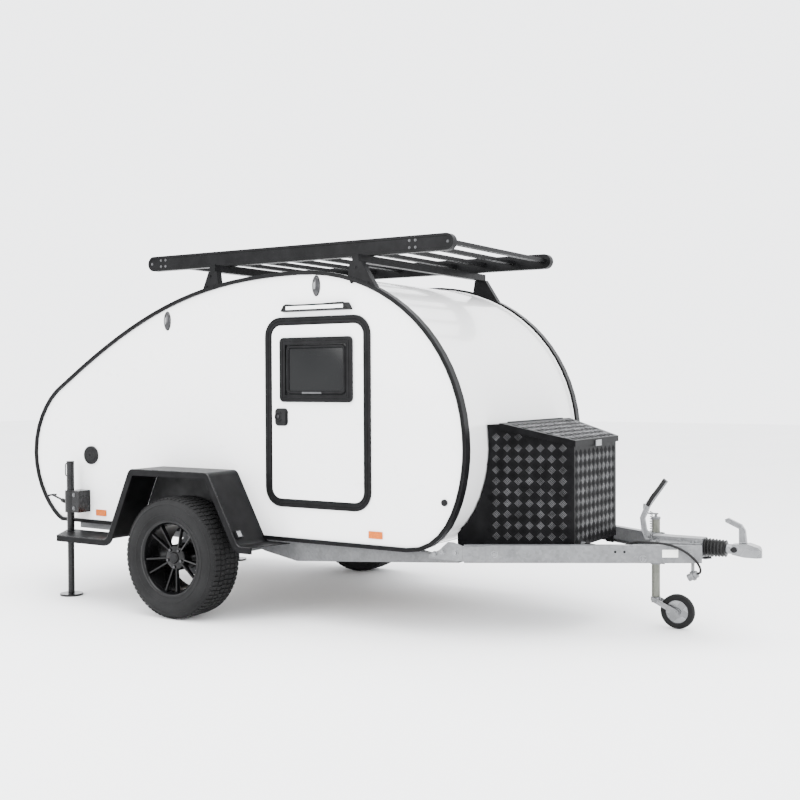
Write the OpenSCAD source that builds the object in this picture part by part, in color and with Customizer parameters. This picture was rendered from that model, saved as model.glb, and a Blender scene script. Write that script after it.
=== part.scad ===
// Teardrop camping trailer with a rear galley hatch, roof rack and drawbar box.
// Millimetres. +X points forward to the hitch, +Y to the left, +Z up, ground at Z = 0.
// Stations along the trailer are counted from the wheel axis and moved to the frame at the end.

/* [Body] */
// Half the width of the cabin over its edge trims
body_half_w = 790; // [740:5:840]
// Height of the body's underside
body_bottom = 478; // [460:2:500]
// Height of the roof at its highest point
roof_top = 2092; // [2040:4:2120]
// Thickness of a side wall and of a door
wall_t = 40; // [30:1:45]
// Thickness of the roof, hatch and floor panels
skin_t = 32; // [24:1:40]
// How far the edge trim stands over the skin
trim_proud = 20; // [15:1:25]

/* [Doors] */
// Width of the door leaf
door_w = 661; // [600:1:680]
// Height of the door leaf
door_h = 1036; // [950:2:1060]
// Width of the black frame around the door
door_frame_w = 44; // [30:1:50]
// Gap between a door and its frame
door_gap = 5; // [5:0.5:8]
// Width of the window in the door
window_w = 523; // [460:1:540]
// Height of the window in the door
window_h = 383; // [330:1:400]

/* [Wheels and axle] */
// Outside diameter of the tyres
tyre_d = 737; // [700:1:760]
// Width of the tyres
tyre_w = 255; // [235:1:265]
// Distance from the centre plane to the tyres' outer faces
track_half_w = 1130; // [1110:1:1150]
// Radius of the wheel spindles
spindle_r = 20; // [18:0.5:24]

/* [Drawbar] */
// Angle of each drawbar rail to the centre plane
drawbar_angle = 29.9; // [29:0.1:31]
// Height of the drawbar rails
rail_h = 97; // [85:1:105]
// Station of the coupling's tip
coupling_tip = 3240; // [3200:5:3300]
// Radius of the coupling's ball socket
socket_r = 25.2; // [25:0.1:25.5]

/* [Toolbox] */
// Half the width of the toolbox at its front
box_front_half_w = 317; // [280:1:340]
// Half the width of the toolbox at the cabin
box_rear_half_w = 510; // [460:1:540]
// Thickness of the tread plate
plate_t = 4; // [3:0.5:5]

/* [Rack] */
// Half the width of the roof rack
rack_half_w = 674; // [640:1:700]
// Depth of the rack's side rails
rack_rail_h = 96; // [80:1:100]
// Number of cross slats
slat_count = 11; // [8:1:14]

/* [Hidden] */
$fn = 48;

// Body outline: stations and heights where the curve is level, upright or changes
nose_x = 1866;
nose_z = 1060;
tail_x = -1575;
tail_z = 950;
crest_x = 740;
shoulder = [-1338, 1398];
front_foot = [1480, body_bottom];
rear_foot = [-1270, body_bottom];

function bez(a, b, c, d, n) = [for (i = [0 : n - 1]) let (t = i / n, s = 1 - t)
    s * s * s * a + 3 * s * s * t * b + 3 * s * t * t * c + t * t * t * d];
outline = concat(
    bez(front_foot, front_foot + [312, 0], [nose_x, nose_z - 185], [nose_x, nose_z], 10),
    bez([nose_x, nose_z], [nose_x, nose_z + 589], [crest_x + 641, roof_top], [crest_x, roof_top], 18),
    bez([crest_x, roof_top], [crest_x - 835, roof_top], shoulder + [756, 486], shoulder, 18),
    bez(shoulder, shoulder - [81, 52], [tail_x, tail_z + 237], [tail_x, tail_z], 7),
    bez([tail_x, tail_z], [tail_x, tail_z - 259], rear_foot - [100, 0], rear_foot, 9)
);

// The frame's origin lies on the ground, midway between tail and coupling
axle_x = -(coupling_tip + tail_x) / 2;
wheel_z = tyre_d / 2;
wall_out = body_half_w - 14;
wall_in = wall_out - wall_t;
trim_in = wall_in + 2;
skin_half_w = wall_in - 0.2;
trim_flange = 24;
trim_lip = 14;

// Doors
door_x = 863.5;
door_z = 1253;
door_r = 65;
door_out = wall_out + 5;
frame_out = wall_out + 10.5;
door_hinge_x = door_x + door_w / 2 + door_gap / 2;
door_hinge_y = 792;
door_hinge_r = 5;
window_x = 862;
window_z = 1506;

// Hatch and valance
hatch_x = -620;
hatch_gap = 6;
valance_z = 700;
hatch_half_w = wall_in - 7;
hinge_x = hatch_x - hatch_gap / 2;
hatch_hinge_z = 1796;
hinge_r = 6;

// Chassis
member_out = wall_in - 1;
rail_w = 48;
rail_t = 5;
rail_z = 438;
rail_front = [2942, 90];
rail_len = (member_out - rail_front[1]) / sin(drawbar_angle);
member_front = 1788;
axle_tube_x = 150;
axle_tube_z = 392;
arm_in = 824;
arm_out = 854;
hub_face = track_half_w - 62;

// Fender
fender_out = 1050;
fender_t = 4;
ledge_rear_z = 432;
ledge_front_z = 470;
fender_top = 893;
steady_x = -1134;
steady_y = 861;

// Toolbox
box_front = 2292;
box_rear = 1690;
box_bottom = 500;
box_top = 1190;
lid_hinge = 1915;
lid_front_z = 1096;
box_taper = (box_rear_half_w - box_front_half_w) / (box_front - 1835);

// Rack
rack_rear = -584;
rack_front = 1725;
rack_bottom = 2166;
rack_rail_w = 50;
bar_stations = [70, 1145];
bar_z = 2122;

// Coupling and jockey
coupling_z = 515;
jockey_x = 2580;
jockey_y = 205;
jockey_r = 24;
jockey_wheel_r = 100;
jockey_trail = 130;
jockey_top = 626;
fit = 0.05;

// Places things counted from the wheel axis in the trailer's frame
module stations() { translate([axle_x, 0, 0]) children(); }
// Extrudes an outline drawn with X forward and Y up, from side position a to b
module across(a, b) { translate([0, b, 0]) rotate([90, 0, 0]) linear_extrude(b - a) children(); }
// Side 1 is the left and -1 the right; pieces are drawn for the left
module on_side(s) { if (s < 0) mirror([0, 1, 0]) children(); else children(); }
module both_sides() { on_side(1) children(); on_side(-1) children(); }
module wheel_axis(x, y, z) { translate([x, y, z]) rotate([-90, 0, 0]) children(); }
module rounded(w, h, r) { offset(r = r, $fn = 32) square([w - 2 * r, h - 2 * r], center = true); }

// ---- Body shell -------------------------------------------------------------------------
module body_area(inset) { offset(delta = -inset) polygon(outline); }
module shell_area(inset, thick) {
    difference() {
        body_area(inset);
        body_area(inset + thick);
    }
}
module door_area(grow) { translate([door_x, door_z]) rounded(door_w + 2 * grow, door_h + 2 * grow, door_r + grow); }

module side_walls() {
    color("white") stations() both_sides() across(wall_in, wall_out) difference() {
        body_area(trim_lip + 0.2);
        door_area(door_gap + door_frame_w);
    }
}
module trim_area() { shell_area(0, trim_flange); }
module edge_trims() {
    color([0.08, 0.08, 0.09]) stations() both_sides() union() {
        across(wall_out, body_half_w) trim_area();
        across(trim_in, wall_out) shell_area(0, trim_lip);
    }
}

module panel_strip(half_w, x0, x1, z0, z1) {
    stations() across(-half_w, half_w) intersection() {
        shell_area(trim_proud, skin_t);
        translate([x0, z0]) square([x1 - x0, z1 - z0]);
    }
}
module floor_panel() { color([0.45, 0.42, 0.38]) panel_strip(skin_half_w, -1250, 1490, 400, 560); }
module roof_and_front_skin() {
    color([0.93, 0.93, 0.94]) stations() across(-skin_half_w, skin_half_w) intersection() {
        shell_area(trim_proud, skin_t);
        union() {
            translate([1490, 400]) square([600, 1800]);
            translate([hatch_x, 1500]) square([2600, 800]);
        }
    }
}
module rear_valance() {
    color("white") stations() across(-skin_half_w, skin_half_w) intersection() {
        shell_area(trim_proud, skin_t);
        translate([-1700, 400]) square([450, valance_z - 400]);
    }
}
module rear_hatch() {
    color("white") stations() union() {
        across(-hatch_half_w, hatch_half_w) intersection() {
            shell_area(trim_proud, skin_t);
            translate([-1700, valance_z + hatch_gap]) square([1700 + hatch_x - hatch_gap, 1600]);
        }
        translate([hinge_x, -hatch_half_w, hatch_hinge_z]) rotate([-90, 0, 0])
            cylinder(h = 2 * hatch_half_w, r = hinge_r);
        across(-hatch_half_w, hatch_half_w) polygon([[hinge_x, hatch_hinge_z + 1], [hinge_x, hatch_hinge_z - 4],
            [hinge_x - 9, hatch_hinge_z - 16], [hinge_x - 40, hatch_hinge_z - 30], [hinge_x - 40, hatch_hinge_z - 22]]);
    }
}
module galley_bulkhead() {
    color([0.85, 0.83, 0.78]) stations() across(-skin_half_w, skin_half_w) intersection() {
        body_area(trim_proud + skin_t + 0.3);
        translate([hatch_x + 20, 400]) square([30, 1700]);
    }
}
worktop_z = 880;
worktop_t = 28;
module galley_fill(half_w) { across(-half_w, half_w) body_area(trim_proud + skin_t + 10); }
module galley_worktop() {
    color([0.72, 0.6, 0.45]) stations() intersection() {
        galley_fill(skin_half_w - 1);
        translate([-1600, -800, worktop_z]) cube([1600 + hatch_x + 20 - 0.2, 1600, worktop_t]);
    }
}
module galley_dividers() {
    color([0.8, 0.76, 0.7]) stations() intersection() {
        galley_fill(skin_half_w - 1);
        for (y = [-720, -250, 230, 700])
            translate([-1440, y, body_bottom + trim_proud + skin_t])
                cube([840 - 20, 20, worktop_z - body_bottom - trim_proud - skin_t - 0.1]);
    }
}
// A block on the sloped valance with an upright rear face at station x
module valance_block(x, y0, y1, z0, z1) {
    across(y0, y1) difference() {
        translate([x, z0]) square([200, z1 - z0]);
        body_area(trim_proud - 0.1);
    }
}
module rear_lamps() {
    color([0.6, 0.05, 0.05]) stations() both_sides() valance_block(-1516, 520, 700, 590, 672);
}
module number_plate() {
    color([0.9, 0.9, 0.88]) stations() valance_block(-1508, -260, 260, 568, 678);
}

// ---- Doors ------------------------------------------------------------------------------
module door_frames() {
    color([0.09, 0.09, 0.1]) stations() both_sides() across(wall_in - 2, frame_out) difference() {
        door_area(door_gap + door_frame_w - 0.2);
        door_area(door_gap);
    }
}
module window_area(grow) { translate([window_x, window_z]) rounded(window_w + 2 * grow, window_h + 2 * grow, 28 + grow); }
module door(s) {
    color("white") stations() on_side(s) union() {
        across(door_out - wall_t, door_out) difference() {
            door_area(0);
            window_area(-12);
        }
        for (z = [door_z - 400, door_z - 60, door_z + 280]) {
            translate([door_hinge_x, door_hinge_y, z]) cylinder(h = 120, r = door_hinge_r);
            translate([door_hinge_x - 34, door_out, z]) cube([34, door_hinge_y - door_out, 120]);
        }
    }
}
module window_frame(s) {
    color([0.07, 0.07, 0.08]) stations() on_side(s) union() {
        across(door_out, door_out + 14) difference() {
            window_area(0);
            window_area(-42);
        }
        across(door_out - wall_t - 6, door_out) difference() {
            window_area(-12.2);
            window_area(-42);
        }
    }
}
module window_glass(s) {
    color([0.12, 0.13, 0.14, 0.6]) stations() on_side(s) across(door_out - 4, door_out + 4) window_area(-42.1);
}
module right_door() { door(-1); }
module left_door() { door(1); }
module right_window_frame() { window_frame(-1); }
module left_window_frame() { window_frame(1); }
module right_window_glass() { window_glass(-1); }
module left_window_glass() { window_glass(1); }

// ---- Lamps and small fittings on the sides ----------------------------------------------
module side_lamps() {
    color([0.8, 0.8, 0.82]) stations() both_sides() for (p = [[-317, 1828], [863, 1998]])
        across(wall_out, wall_out + 22) translate(p) rounded(58, 124, 28.9);
}
module side_reflectors() {
    color([0.95, 0.5, 0.1]) stations() both_sides() for (x = [-930, 1272])
        across(wall_out, wall_out + 9) translate([x, 559]) rounded(92, 42, 4);
}
module awning_lamps() {
    color([0.15, 0.15, 0.16]) stations() both_sides() across(wall_out, wall_out + 38)
        translate([868, 1872]) rounded(513, 44, 20);
}
module service_caps() {
    color([0.1, 0.1, 0.1]) stations() both_sides() {
        wheel_axis(-1016, wall_out, 945) cylinder(h = 18, r = 61);
        wheel_axis(1724, wall_out, 768) cylinder(h = 10, r = 19);
    }
}

// ---- Fenders ----------------------------------------------------------------------------
fender_path = [[-1300, ledge_rear_z], [-600, ledge_rear_z], [-395, fender_top], [250, fender_top],
    [478, ledge_front_z], [700, ledge_front_z]];
module fender_area() {
    offset(r = -45) offset(delta = 45) offset(r = 45) offset(delta = -45)
        polygon(concat(fender_path, [[700, 0], [-1300, 0]]));
}
module fender_band(depth) {
    intersection() {
        difference() {
            fender_area();
            offset(delta = -depth) fender_area();
        }
        translate([-1260, ledge_rear_z - depth]) square([1920, 900]);
    }
}
module fenders() {
    color([0.1, 0.1, 0.11]) stations() both_sides() difference() {
        intersection() {
            union() {
                across(wall_out, fender_out) fender_band(fender_t);
                across(fender_out - 12, fender_out) fender_band(40);
            }
            translate([0, 0, 300]) linear_extrude(700)
                polygon([[-1250, wall_out], [660, wall_out], [575, fender_out], [-1060, fender_out]]);
        }
        translate([steady_x, steady_y, 300]) cylinder(h = 200, r = 33);
        across(wall_out - 1, body_half_w + 0.2) offset(delta = 0.2) trim_area();
    }
}
module fender_lamps() {
    color([0.92, 0.92, 0.9]) stations() both_sides()
        translate([444.6, 1004, 532]) rotate([0, 61.67, 0]) translate([-24, -24, 0.1]) cube([48, 48, 16]);
}

// ---- Chassis ----------------------------------------------------------------------------
module channel_side(area_h) {
    // Channel section with its web outwards; drawn with X inwards and Y up
    difference() {
        square([rail_w, area_h]);
        translate([rail_t, rail_t]) square([rail_w, area_h - 2 * rail_t]);
    }
}
// Frame of the right rail: X runs along it to its front end, Y inwards from its outer face
module rail_frame() { translate([rail_front[0], -rail_front[1], 0]) rotate([0, 0, drawbar_angle]) children(); }
module drawbar_rails() {
    color([0.72, 0.73, 0.74]) stations() both_sides() mirror([0, 1, 0]) rail_frame()
        translate([-rail_len, 0, rail_z]) rotate([90, 0, 90]) linear_extrude(rail_len) channel_side(rail_h);
}
member_top = body_bottom + trim_proud;
member_area = [[-1180, 440], [330, 430], [441, 399], [678, 357], [member_front, 436],
    [member_front, 474], [1600, 474], [1540, 484], [1460, member_top], [-1180, member_top]];
module side_members() {
    color([0.62, 0.63, 0.64]) stations() both_sides() difference() {
        across(member_out - rail_w, member_out) polygon(member_area);
        across(member_out - rail_w - 1, member_out - rail_t) offset(delta = -rail_t) polygon(member_area);
    }
}
module cross_members() {
    color([0.62, 0.63, 0.64]) stations() for (x = [-1150, -420, 560, 1300])
        translate([x, -member_out + rail_w, 446]) cube([60, 2 * (member_out - rail_w), member_top - 446]);
}
module splice_plates() {
    color([0.7, 0.71, 0.72]) stations() both_sides() union() {
        across(member_out + 0.1, member_out + 6) polygon([[1600, 448], [1816, 448], [1816, 532], [1756, 548],
            [1722, 548], [1668, 500], [1600, 470]]);
        mirror([0, 1, 0]) rail_frame() translate([-rail_len - 6, -6, rail_z + 8]) cube([120, 5.9, rail_h - 14]);
    }
}
module axle_tube() {
    color([0.6, 0.61, 0.62]) stations() union() {
        wheel_axis(axle_tube_x, -arm_in + 0.2, axle_tube_z) linear_extrude(2 * arm_in - 0.4)
            rounded(76, 76, 12);
        both_sides() translate([axle_tube_x - 60, member_out - rail_w, axle_tube_z + 35])
            cube([120, rail_w, 3.6]);
    }
}
module swing_arms() {
    color([0.35, 0.36, 0.37]) stations() both_sides() union() {
        across(arm_in, arm_out) hull() {
            translate([axle_tube_x, axle_tube_z]) circle(52);
            translate([0, wheel_z]) circle(40);
        }
        wheel_axis(0, arm_out - 1, wheel_z) cylinder(h = 50, r = 36);
        wheel_axis(0, arm_out + 40, wheel_z) cylinder(h = 10, r = 125);
        wheel_axis(0, arm_out, wheel_z) cylinder(h = hub_face - arm_out - 12, r = spindle_r);
    }
}

// ---- Wheels -----------------------------------------------------------------------------
rim_r = 216;
module tyre(s) {
    tread_r = tyre_d / 2;
    color([0.07, 0.07, 0.075]) stations() on_side(s) wheel_axis(0, track_half_w - tyre_w, wheel_z)
        rotate_extrude($fn = 96) polygon([
            [rim_r, 14], [rim_r + 22, 4], [rim_r + 60, 0], [rim_r + 105, 6], [tread_r - 22, 22],
            [tread_r - 3, 44], [tread_r, 70], [tread_r, tyre_w - 70], [tread_r - 3, tyre_w - 44],
            [tread_r - 22, tyre_w - 22], [rim_r + 105, tyre_w - 6], [rim_r + 60, tyre_w],
            [rim_r + 22, tyre_w - 4], [rim_r, tyre_w - 14], [rim_r, tyre_w - 34],
            [rim_r + 26, tyre_w - 26], [rim_r + 80, tyre_w - 16], [tread_r - 26, tyre_w - 42],
            [tread_r - 22, tyre_w - 72], [tread_r - 22, 72], [tread_r - 26, 42], [rim_r + 80, 16],
            [rim_r + 26, 26], [rim_r, 34]]);
}
module rim(s) {
    color([0.05, 0.05, 0.055]) stations() on_side(s) wheel_axis(0, track_half_w - tyre_w, wheel_z) difference() {
        union() {
            rotate_extrude($fn = 96) polygon([
                [rim_r - 12, 16], [rim_r - 0.2, 16], [rim_r - 0.2, tyre_w - 16], [rim_r - 12, tyre_w - 16],
                [rim_r - 22, tyre_w - 60], [rim_r - 22, 60]]);
            translate([0, 0, 60]) cylinder(h = hub_face - track_half_w + tyre_w - 60, r = 82);
            for (i = [0 : 4], k = [-1, 1])
                rotate([0, 0, 72 * i + 13 * k]) translate([60, -11, tyre_w - 88]) cube([rim_r - 76, 22, 34]);
        }
        translate([0, 0, -1]) cylinder(h = hub_face - track_half_w + tyre_w - 9, r = spindle_r + fit);
    }
}
module right_tyre() { tyre(-1); }
module left_tyre() { tyre(1); }
module right_rim() { rim(-1); }
module left_rim() { rim(1); }

// ---- Rear steadies ----------------------------------------------------------------------
steady_r = 25;
module steady_clamps() {
    color([0.09, 0.09, 0.1]) stations() both_sides() union() {
        difference() {
            union() {
                translate([steady_x, steady_y, 562]) cylinder(h = 146, r = 37);
                translate([steady_x, wall_out, 562]) cube([98, steady_y - wall_out + 20, 146]);
            }
            translate([steady_x, steady_y, 500]) cylinder(h = 300, r = steady_r + fit);
        }
        translate([steady_x - 32, steady_y, 624]) rotate([0, -90 + 17, 0]) cylinder(h = 150, r = 7);
        translate([steady_x - 56, steady_y, 630]) rotate([0, -90 + 17, 0]) cylinder(h = 26, r = 14);
    }
}
module steady_leg(s) {
    color([0.08, 0.08, 0.085]) stations() on_side(s) translate([steady_x, steady_y, 0]) union() {
        cylinder(h = 13, r = 76);
        cylinder(h = 420, r = 22);
        translate([0, 0, 415]) cylinder(h = 491, r = steady_r);
    }
}
module right_steady_leg() { steady_leg(-1); }
module left_steady_leg() { steady_leg(1); }

// ---- Toolbox on the drawbar -------------------------------------------------------------
module box_side_area() {
    difference() {
        polygon([[box_rear, box_bottom], [box_front, box_bottom], [box_front, lid_front_z],
            [lid_hinge, box_top], [box_rear, box_top]]);
        body_area(trim_proud - 8);
    }
}
module box_plan(inset) {
    rear_x = box_rear - 200;
    rear_y = box_front_half_w + box_taper * (box_front - rear_x) - inset;
    front_x = box_front - inset;
    front_y = box_front_half_w - inset;
    polygon([[rear_x, -rear_y], [front_x, -front_y], [front_x, front_y], [rear_x, rear_y]]);
}
module box_block(inset) {
    intersection() {
        across(-700, 700) offset(delta = -inset) box_side_area();
        linear_extrude(1400) box_plan(inset);
    }
}
module box_body() {
    color([0.1, 0.1, 0.1]) stations() union() {
        difference() {
            box_block(0);
            box_block(plate_t);
            across(-box_front_half_w + 20, box_front_half_w - 20)
                polygon([[lid_hinge + 12, 1000], [box_front - 20, 1000], [box_front - 20, 1300], [lid_hinge + 12, 1300]]);
        }
        both_sides() for (x = [1960, 2215])
            translate([x, box_front_half_w + box_taper * (box_front - x) - 0.5, 452])
                rotate([0, 0, -atan(box_taper)]) cube([60, 5, 66]);
    }
}
lid_gap = 5;
lid_lip = 28;
lid_lip_in = 8;
lid_lip_out = 12;
module box_lid() {
    color([0.12, 0.12, 0.12]) stations() union() {
        difference() {
            intersection() {
                across(-700, 700) polygon([[lid_hinge, box_top + lid_gap + plate_t],
                    [box_front + lid_lip_out, lid_front_z + lid_gap + 1],
                    [box_front + lid_lip_out, lid_front_z - lid_lip], [lid_hinge, box_top - lid_lip]]);
                linear_extrude(1400) box_plan(-lid_lip_out);
            }
            intersection() {
                across(-700, 700) polygon([[lid_hinge - 10, box_top + lid_gap + 2.5],
                    [box_front + lid_lip_in, lid_front_z + lid_gap - 2], [box_front + lid_lip_in, 900],
                    [lid_hinge - 10, 900]]);
                linear_extrude(1400) box_plan(-lid_lip_in);
            }
        }
        translate([lid_hinge, -380, box_top + 9]) rotate([-90, 0, 0]) cylinder(h = 760, r = 5);
    }
}

// ---- Roof rack --------------------------------------------------------------------------
module rack_rails() {
    color([0.08, 0.08, 0.09]) stations() both_sides() across(rack_half_w - rack_rail_w, rack_half_w)
        hull() for (x = [rack_rear + rack_rail_h / 2, rack_front - rack_rail_h / 2])
            translate([x, rack_bottom + rack_rail_h / 2]) circle(rack_rail_h / 2);
}
slat_pitch = (rack_front - rack_rear - 110) / (slat_count - 1);
module rack_slats() {
    color([0.08, 0.08, 0.09]) stations() for (i = [0 : slat_count - 1])
        translate([rack_rear + 35 + i * slat_pitch, -rack_half_w + rack_rail_w, 2206])
            cube([40, 2 * (rack_half_w - rack_rail_w), 24]);
}
module rack_feet() {
    color([0.08, 0.08, 0.09]) stations() {
        for (x = bar_stations)
            translate([x - 22, -body_half_w + 5, bar_z]) cube([44, 2 * body_half_w - 10, rack_bottom - bar_z]);
        both_sides() across(body_half_w - 50, body_half_w - 5) difference() {
            union() {
                polygon([[-20, 1990], [125, 1990], [105, bar_z + 1], [38, bar_z + 1]]);
                polygon([[1080, 1960], [1290, 1960], [1185, bar_z + 1], [1105, bar_z + 1]]);
            }
            body_area(0);
        }
    }
}

// ---- Coupling, handbrake and jockey wheel -----------------------------------------------
module overrun_housing() {
    color([0.66, 0.67, 0.68]) stations() union() {
        translate([2640, -46, 462]) cube([290, 92, 104]);
        translate([0, 0, rail_z + rail_h]) linear_extrude(8)
            polygon([[2660, -160], [2925, -70], [2925, 70], [2660, 160]]);
    }
}
module along_x(x, z) { translate([x, 0, z]) rotate([0, 90, 0]) children(); }
module bellows() {
    color([0.06, 0.06, 0.06]) stations() along_x(2930.2, coupling_z) rotate_extrude() polygon(concat(
        [[0, 0]], [for (i = [0 : 6]) each [[40, 18 * i], [54 - i, 18 * i + 9]]], [[38, 122], [0, 122]]));
}
module coupling_head() {
    color([0.78, 0.79, 0.8]) stations() difference() {
        union() {
            along_x(3052.4, coupling_z) cylinder(h = 60, r = 27);
            intersection() {
                across(-36, 36) polygon([[3085, 488], [3085, 545], [3170, 552], [3225, 536], [coupling_tip, 516],
                    [coupling_tip, 478], [3150, 478]]);
                linear_extrude(700) hull() {
                    translate([3085, -32]) square([10, 64]);
                    translate([coupling_tip - 38, 0]) circle(38);
                }
            }
        }
        translate([coupling_tip - 40, 0, 400]) cylinder(h = 112, r = socket_r);
    }
}
module coupling_handle() {
    color([0.8, 0.81, 0.82]) stations() across(-12, 12)
        polygon([[3118, 549], [3160, 551.5], [3152, 622], [3132, 652], [3060, 684], [3042, 676], [3046, 660], [3118, 628]]);
}
module handbrake_lever() {
    color([0.7, 0.71, 0.72]) stations() across(-72, -56) polygon([[2612, 543], [2660, 543], [2622, 600],
        [2612, 660], [2645, 736], [2742, 872], [2720, 890], [2618, 750], [2582, 664], [2590, 600]]);
}
jockey_wheel_x = jockey_x + jockey_trail;
module jockey_clamp() {
    color([0.55, 0.56, 0.57]) stations() difference() {
        union() {
            for (z = [365, 490])
                translate([jockey_x, jockey_y, z]) cylinder(h = 60, r = 32);
            mirror([0, 1, 0]) rail_frame() translate([-411, rail_w + 0.1, 365]) cube([80, 8, 185]);
        }
        translate([jockey_x, jockey_y, 300]) cylinder(h = 400, r = jockey_r + fit);
    }
}
module jockey_tube() {
    color([0.7, 0.71, 0.7]) stations() translate([jockey_x, jockey_y, 0]) difference() {
        translate([0, 0, 175]) cylinder(h = jockey_top - 175, r = jockey_r);
        translate([0, 0, 170]) cylinder(h = 70, r = 12 + fit);
    }
}
module jockey_fork() {
    color([0.72, 0.73, 0.73]) stations() translate([0, jockey_y, 0]) union() {
        translate([jockey_x, 0, 150]) cylinder(h = 23, r = 30);
        translate([jockey_x, 0, 160]) cylinder(h = 70, r = 12);
        for (y = [-38, 32]) across(y, y + 6) hull() {
            translate([jockey_x, 158]) circle(14);
            translate([jockey_wheel_x, jockey_wheel_r]) circle(16);
        }
        translate([jockey_x - 14, -38, 144]) cube([28, 76, 20]);
        wheel_axis(jockey_wheel_x, -44, jockey_wheel_r) cylinder(h = 88, r = 8);
    }
}
module jockey_wheel() {
    color([0.1, 0.1, 0.1]) stations() wheel_axis(jockey_wheel_x, jockey_y - 25, jockey_wheel_r)
        rotate_extrude($fn = 64) polygon([[8 + fit, -1], [22, -1], [26, 14], [64, 14], [68, 4], [88, 0],
            [97, 8], [jockey_wheel_r, 18], [jockey_wheel_r, 32], [97, 42], [88, 50], [68, 46], [64, 36],
            [26, 36], [22, 51], [8 + fit, 51]]);
}

// ---- Electric lead, held at the chassis and in its parking holder -------------------------
lead_r = 6.5;
lead_sides = 10;
lead_route = [[box_front + 20, -215, 514], [2335, -215, 514], [2380, -219, 511], [2430, -227, 507],
    [2480, -236, 507], [2525, -238, 514], [2562, -236, 528], [2595, -230, 543], [2630, -232, 551],
    [2665, -237, 553], [2700, -232, 552], [2735, -219, 550], [2770, -202, 545], [2805, -185, 536],
    [2840, -166, 520], [2870, -148, 500], [2895, -134, 478], [2916, -122, 454], [2930, -112, 430],
    [2937, -105, 408], [2933, -97, 388.3], [2918, -97, 380]];
function unit(v) = v / norm(v);
function tangent(i) = unit(lead_route[min(i + 1, len(lead_route) - 1)] - lead_route[max(i - 1, 0)]);
function ring(i) = let (t = tangent(i), u = unit(cross([0, 1, 0.3], t)), w = cross(t, u))
    [for (k = [0 : lead_sides - 1]) let (a = 360 * k / lead_sides)
        lead_route[i] + lead_r * (u * cos(a) + w * sin(a))];
module electric_lead() {
    n = len(lead_route);
    color([0.05, 0.05, 0.05]) stations() polyhedron(
        points = [for (i = [0 : n - 1]) each ring(i)],
        faces = concat(
            [[for (k = [0 : lead_sides - 1]) lead_sides - 1 - k]],
            [for (i = [0 : n - 2], k = [0 : lead_sides - 1]) let (k2 = (k + 1) % lead_sides)
                [i * lead_sides + k, i * lead_sides + k2, (i + 1) * lead_sides + k2, (i + 1) * lead_sides + k]],
            [[for (k = [0 : lead_sides - 1]) (n - 1) * lead_sides + k]]));
}
module plug_holder() {
    color([0.12, 0.12, 0.12]) stations() {
        union() {
            translate(lead_route[len(lead_route) - 1]) rotate([0, -119, 0]) union() {
                cylinder(h = 56, r = 20);
                translate([0, 0, 20]) cylinder(h = 12, r = 27);
            }
            translate([2884, -100, 366]) cube([18, 6, rail_z - 366.1]);
        }
        translate([box_front + 0.1, -215, 514]) rotate([0, 90, 0]) cylinder(h = 19.8, r = 12);
    }
}

drawbar_rails();
side_members();
cross_members();
splice_plates();
axle_tube();
swing_arms();
floor_panel();
side_walls();
edge_trims();
roof_and_front_skin();
galley_bulkhead();
galley_worktop();
galley_dividers();
rear_valance();
rear_lamps();
number_plate();
door_frames();
fenders();
fender_lamps();
side_lamps();
side_reflectors();
awning_lamps();
service_caps();
steady_clamps();
box_body();
rack_rails();
rack_slats();
rack_feet();
overrun_housing();
bellows();
coupling_head();
coupling_handle();
handbrake_lever();
jockey_clamp();
plug_holder();
electric_lead();
rear_hatch();
right_door();
right_window_frame();
right_window_glass();
left_door();
left_window_frame();
left_window_glass();
right_tyre();
right_rim();
left_tyre();
left_rim();
right_steady_leg();
left_steady_leg();
box_lid();
jockey_tube();
jockey_fork();
jockey_wheel();
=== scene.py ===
"""Looks of a teardrop camping trailer with a rear hatch, a roof rack and a toolbox on its drawbar.

Stations are millimetres from the wheel axis: X forward to the hitch, Y to the left, Z up from the ground.
"""
import math

import bpy
from mathutils import Matrix, Vector


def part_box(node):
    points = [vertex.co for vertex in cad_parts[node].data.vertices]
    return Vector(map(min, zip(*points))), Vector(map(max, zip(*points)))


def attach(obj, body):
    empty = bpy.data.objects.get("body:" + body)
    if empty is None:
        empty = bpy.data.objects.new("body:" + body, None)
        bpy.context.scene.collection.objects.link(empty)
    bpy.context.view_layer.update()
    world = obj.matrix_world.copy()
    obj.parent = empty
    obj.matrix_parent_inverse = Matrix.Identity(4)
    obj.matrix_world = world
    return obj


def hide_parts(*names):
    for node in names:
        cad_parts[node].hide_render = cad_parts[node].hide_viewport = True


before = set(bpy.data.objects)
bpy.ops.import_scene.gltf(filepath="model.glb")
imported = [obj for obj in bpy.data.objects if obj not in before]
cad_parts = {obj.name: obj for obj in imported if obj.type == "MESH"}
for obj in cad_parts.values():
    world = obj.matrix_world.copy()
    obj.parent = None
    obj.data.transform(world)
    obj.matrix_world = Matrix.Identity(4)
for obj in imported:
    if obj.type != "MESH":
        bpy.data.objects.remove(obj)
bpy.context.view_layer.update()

MM = 0.001
TYRE_LOW, TYRE_HIGH = (Vector(corner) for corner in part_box("right_tyre"))
AXLE_X = (TYRE_LOW.x + TYRE_HIGH.x) / 2
WHEEL_Z = (TYRE_LOW.z + TYRE_HIGH.z) / 2 / MM
TYRE_R = (TYRE_HIGH.z - TYRE_LOW.z) / 2 / MM
TYRE_OUT = -TYRE_LOW.y / MM
RIGHT, LEFT = -1, 1
WALL = 776
TAIL_X = -1516
JOCKEY_X, JOCKEY_Y = 2580, 205
STEADY_X, STEADY_Y = -1134, -861
GRIP_LOW = 735
FLOOR_SIZE = 60
WORLD_LIGHT = 4.2
UPRIGHT = 0.95


def at(x, y, z):
    """A station in millimetres as a point of the frame, in metres."""
    return Vector((AXLE_X + x * MM, y * MM, z * MM))


# ---- Working by hand ------------------------------------------------------------------------


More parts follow.
